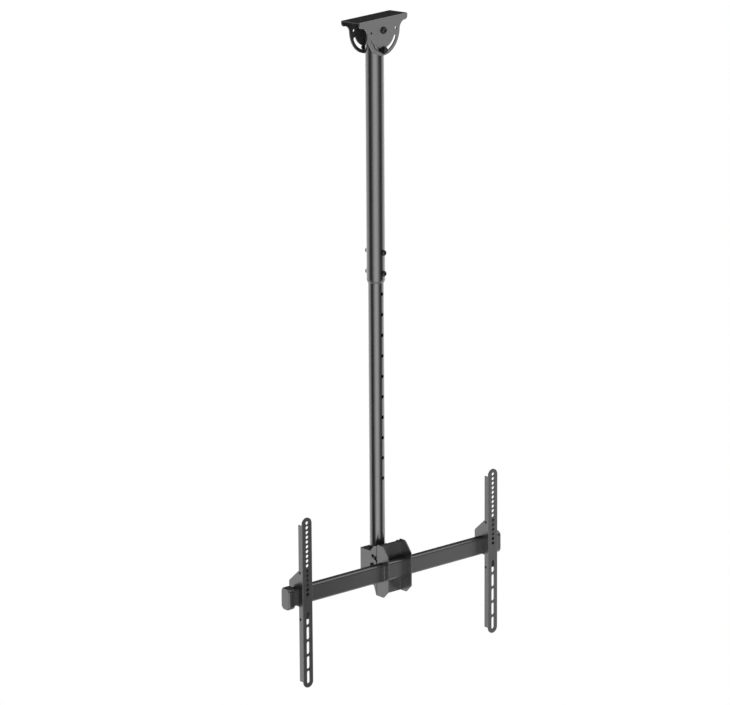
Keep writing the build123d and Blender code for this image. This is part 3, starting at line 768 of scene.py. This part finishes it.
# What the camera sees, straight or through glass, is the plain ground
ray = add(air, "ShaderNodeLightPath")
seen = add(air, "ShaderNodeMath",
           [(0, ray.outputs["Is Camera Ray"]), (1, ray.outputs["Is Transmission Ray"])],
           operation="MAXIMUM")
either = add(air, "ShaderNodeMixShader",
             [(0, seen.outputs[0]), (1, studio.outputs[0]), (2, ground.outputs[0])])
add(air, "ShaderNodeOutputWorld", [("Surface", either.outputs[0])])
print("world:", len(air.nodes), "nodes")

# %% [markdown]
# ## Lamps
# The world alone lights a black coat too evenly. A key softbox high on the right and a fill high on the
# left light the arms and the ears as in the photograph, and a small card low on the right lifts the right
# arm. Spot lamps would draw hard shadows, so all three are large area lamps. Their strength is given as
# the brightness of their face, because that is what a glossy coat mirrors, and Blender asks for watts.

# %% Lamps
def softbox(name, aim, toward, distance, width, height, radiance):
    """A soft light that faces a point, with a given brightness of its face."""
    lamp = bpy.data.lights.new(name, "AREA")
    lamp.shape = "RECTANGLE"
    lamp.size, lamp.size_y = width, height
    lamp.energy = radiance * pi * width * height
    holder = bpy.data.objects.new(name, lamp)
    holder.location = aim + toward.normalized() * distance
    holder.rotation_mode = "QUATERNION"
    holder.rotation_quaternion = (-toward).to_track_quat("-Z", "Y")
    holder.visible_camera = False
    bpy.context.scene.collection.objects.link(holder)


POLE_MIDDLE = Vector((0.0, 0.0, -0.75))
HEAD_RIGHT = Vector((0.25, -0.07, -1.35))
softbox("key_softbox", POLE_MIDDLE, Vector((0.62, -0.42, 0.66)),
        distance=3.2, width=4.6, height=3.2, radiance=1.35)
softbox("fill_softbox", POLE_MIDDLE, Vector((-0.50, -0.66, 0.56)),
        distance=3.2, width=3.2, height=3.2, radiance=1.3)
softbox("side_card", HEAD_RIGHT, Vector((0.70, -0.70, -0.24)),
        distance=1.1, width=0.7, height=0.7, radiance=0.45)
print("lamps: one key, one fill, one card")

# %% [markdown]
# ## Floor
# The mount hangs in the air, but views from above look down on a floor, and a shadow there tells how high
# it hangs. A square sheet would show its edges against the white, so this is a round sheet of paper that
# fades out towards its rim. Camera, mirror and glass rays see it glow a little: that makes it pale with
# no more light on the object, and the shadow stays.

# %% Floor
FLOOR_DROP = 1.0
FLOOR_RADIUS = 2.3
FLOOR_SIDES = 96
bm = bmesh.new()
bmesh.ops.create_circle(bm, cap_ends=True, segments=FLOOR_SIDES, radius=FLOOR_RADIUS)
bmesh.ops.translate(bm, verts=bm.verts, vec=(0.0, 0.0, cad_box[0].z - FLOOR_DROP))
floor_mesh = bpy.data.meshes.new("floor")
bm.to_mesh(floor_mesh)
bm.free()
floor = bpy.data.objects.new("floor", floor_mesh)
bpy.context.scene.collection.objects.link(floor)
print("floor: %.1f m below the lowest piece" % FLOOR_DROP)

# %% Paper of the floor
FADE_FROM = 0.4 * FLOOR_RADIUS
PAPER_GREY = "a0a0a0"
PAPER_GLOW = (0.7, 0.7, 0.7, 1.0)
paper, tree, at = new_material("white_paper_floor")
level_at = add(tree, "ShaderNodeVectorMath", [(0, at), (1, (1.0, 1.0, 0.0))], operation="MULTIPLY")
from_middle = add(tree, "ShaderNodeVectorMath", [(0, level_at.outputs[0])], operation="LENGTH")
fade = add(tree, "ShaderNodeMapRange", [("Value", from_middle.outputs["Value"])],
           interpolation_type="SMOOTHSTEP", From_Min=FADE_FROM, From_Max=FLOOR_RADIUS)
sheet = add(tree, "ShaderNodeBsdfDiffuse", Color=hex_colour(PAPER_GREY))
ray = add(tree, "ShaderNodeLightPath")
mirrored = add(tree, "ShaderNodeMath",
               [(0, ray.outputs["Is Glossy Ray"]), (1, ray.outputs["Is Transmission Ray"])],
               operation="MAXIMUM")
looked_at = add(tree, "ShaderNodeMath", [(0, ray.outputs["Is Camera Ray"]), (1, mirrored.outputs[0])],
                operation="MAXIMUM")
glow = add(tree, "ShaderNodeEmission", [("Strength", looked_at.outputs[0])], Color=PAPER_GLOW)
lit = add(tree, "ShaderNodeAddShader", [(0, sheet.outputs[0]), (1, glow.outputs[0])])
clear = add(tree, "ShaderNodeBsdfTransparent")
blend = add(tree, "ShaderNodeMixShader",
            [(0, fade.outputs["Result"]), (1, lit.outputs[0]), (2, clear.outputs[0])])
add(tree, "ShaderNodeOutputMaterial", [("Surface", blend.outputs[0])])
floor_mesh.materials.append(paper)
print("floor paper fades from %.2f to %.2f m" % (FADE_FROM, FLOOR_RADIUS))

# %% [markdown]
# ## View
# A film look would bend the greys that were matched to the photograph, so the view transform is the
# standard one.

# %% View settings
bpy.context.scene.view_settings.view_transform = "Standard"
